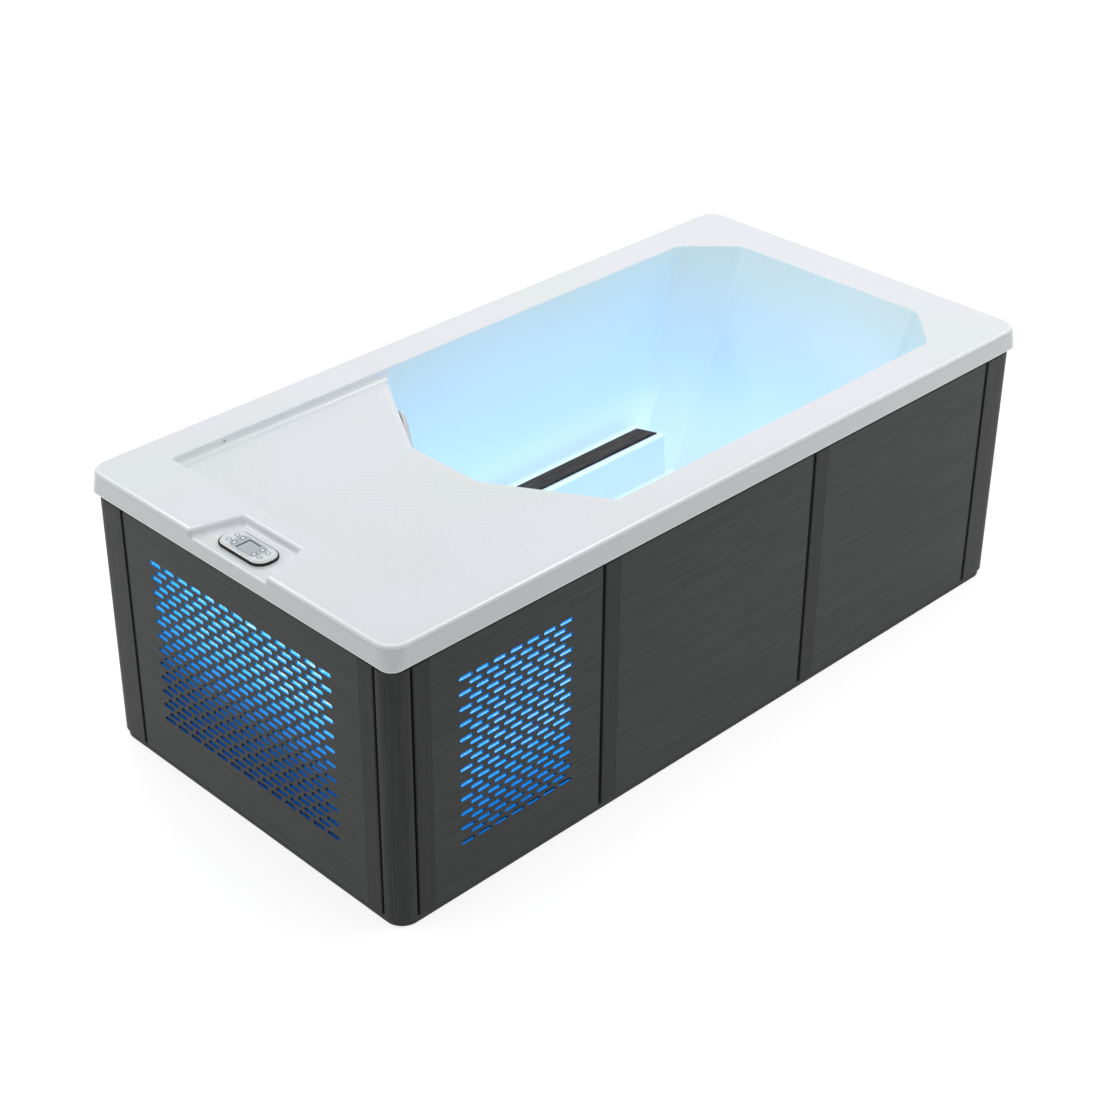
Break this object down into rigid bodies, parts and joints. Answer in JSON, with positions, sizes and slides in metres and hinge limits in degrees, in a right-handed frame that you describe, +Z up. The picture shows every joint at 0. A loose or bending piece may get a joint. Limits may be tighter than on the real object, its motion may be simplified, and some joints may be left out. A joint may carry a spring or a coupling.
{
  "type": "cold plunge tub",
  "caption": "Free-standing cold plunge tub with a white acrylic basin, a stepped deck, a keypad in a rim notch, dark panelled cladding and a built-in chiller.",
  "frame": {"origin": "middle of the base, on the floor", "axes": "+X along the tub towards the backrest end, +Y across towards the rear side, +Z up"},
  "size_m": [2.01, 0.99, 0.695],
  "materials": {
    "acrylic": "glossy white cast acrylic",
    "foam": "soft matte",
    "black_plastic": "matte black",
    "steel_tube": "mill finish",
    "timber": "sawn",
    "cladding": "dark grey brushed grain, satin",
    "cladding_trim": "dark grey brushed grain, satin",
    "glow": "lit blue diffuser",
    "led": "lit blue",
    "strip": "dark wood grain",
    "bezel": "glossy light grey",
    "overlay": "satin print",
    "board": "solder mask",
    "window": "glossy window",
    "button": "satin",
    "galvanised": "galvanised",
    "black_metal": "satin black paint",
    "aluminium_fin": "bare",
    "steel_plate": "brazed plates",
    "copper": "bare copper",
    "grey_box": "moulded",
    "impeller": "moulded",
    "pipe": "white pipe plastic",
    "grey_cap": "satin light grey",
    "lens": "frosted lens",
    "white_plastic": "satin",
    "ball_steel": "polished",
    "red_lever": "dipped red"
  },
  "bodies": {
    "tub": {"acrylic_shell": "acrylic", "insulation_foam": "foam", "base_tray": "black_plastic", "base_frame": "steel_tube", "frame_uprights": "steel_tube", "top_frame": "steel_tube", "rim_packers": "timber", "basin_bearers": "timber", "corner_posts": "cladding_trim", "stile_battens": "cladding_trim", "backing_strips": "black_plastic", "front_panel_vented": "cladding", "front_panel_middle": "cladding", "front_panel_head": "cladding", "rear_panel_service": "cladding", "rear_panel_middle": "cladding", "rear_panel_head": "cladding", "end_panel_vented": "cladding", "end_panel_head": "cladding", "glow_panel_front": "glow", "glow_panel_end": "glow", "led_strips": "led", "ledge_strips": "strip", "keypad_base": "black_plastic", "keypad_bezel": "bezel", "keypad_overlay": "overlay", "keypad_board": "board", "display_window": "window", "chiller_base": "galvanised", "compressor": "black_metal", "condenser_coil": "aluminium_fin", "fan_shroud": "black_plastic", "fan_motor": "black_metal", "heat_exchanger": "steel_plate", "refrigerant_lines": "copper", "control_box": "grey_box", "ozone_generator": "black_plastic", "circulation_pump": "black_metal", "water_pipes": "pipe", "filter_canister": "pipe", "filter_cartridge": "foam", "suction_fitting": "pipe", "basin_light": "lens", "jet_body": "white_plastic", "drain_body": "pipe", "service_niche": "black_plastic"},
    "fan": {"fan_rotor": "black_plastic"},
    "pump_impeller": {"pump_rotor": "impeller"},
    "filter_lid": {"filter_cap": "grey_cap"},
    "jet_nozzle": {"jet_ball": "white_plastic"},
    "drain_valve": {"drain_ball": "ball_steel", "drain_handle": "red_lever"},
    "button_1": {"button_1": "button"},
    "button_2": {"button_2": "button"},
    "button_3": {"button_3": "button"},
    "button_4": {"button_4": "button"},
    "button_5": {"button_5": "button"},
    "button_6": {"button_6": "button"},
    "button_7": {"button_7": "button"},
    "button_8": {"button_8": "button"}
  },
  "joints": [
    {"name": "button_1_press", "type": "slide", "parent": "tub", "child": "button_1", "axis": [0, 0, -1], "range_m": [0, 0.0008], "stiffness_N_per_m": 500},
    {"name": "button_2_press", "type": "slide", "parent": "tub", "child": "button_2", "axis": [0, 0, -1], "range_m": [0, 0.0008], "stiffness_N_per_m": 500},
    {"name": "button_3_press", "type": "slide", "parent": "tub", "child": "button_3", "axis": [0, 0, -1], "range_m": [0, 0.0008], "stiffness_N_per_m": 500},
    {"name": "button_4_press", "type": "slide", "parent": "tub", "child": "button_4", "axis": [0, 0, -1], "range_m": [0, 0.0008], "stiffness_N_per_m": 500},
    {"name": "button_5_press", "type": "slide", "parent": "tub", "child": "button_5", "axis": [0, 0, -1], "range_m": [0, 0.0008], "stiffness_N_per_m": 500},
    {"name": "button_6_press", "type": "slide", "parent": "tub", "child": "button_6", "axis": [0, 0, -1], "range_m": [0, 0.0008], "stiffness_N_per_m": 500},
    {"name": "button_7_press", "type": "slide", "parent": "tub", "child": "button_7", "axis": [0, 0, -1], "range_m": [0, 0.0008], "stiffness_N_per_m": 500},
    {"name": "button_8_press", "type": "slide", "parent": "tub", "child": "button_8", "axis": [0, 0, -1], "range_m": [0, 0.0008], "stiffness_N_per_m": 500},
    {"name": "fan_spin", "type": "hinge", "parent": "tub", "child": "fan", "pos_m": [-0.9, -0.2564, 0.215], "axis": [1, 0, 0], "continuous": true},
    {"name": "pump_spin", "type": "hinge", "parent": "tub", "child": "pump_impeller", "pos_m": [-0.47086, 0, 0.1953], "axis": [1, 0, 0], "continuous": true},
    {"name": "filter_cap_turn", "type": "hinge", "parent": "tub", "child": "filter_lid", "pos_m": [-0.32232, 0.24593, 0.585], "axis": [0.8537, -0.5173, 0.0592], "range_deg": [0, 60]},
    {"name": "jet_swivel", "type": "hinge", "parent": "tub", "child": "jet_nozzle", "pos_m": [-0.31368, -0.23518, 0.40012], "axis": [0, 0, 1], "range_deg": [-20, 20]},
    {"name": "drain_turn", "type": "hinge", "parent": "tub", "child": "drain_valve", "pos_m": [-0.68, 0.4323, 0.073], "axis": [0, 0, 1], "range_deg": [0, 90]}
  ]
}
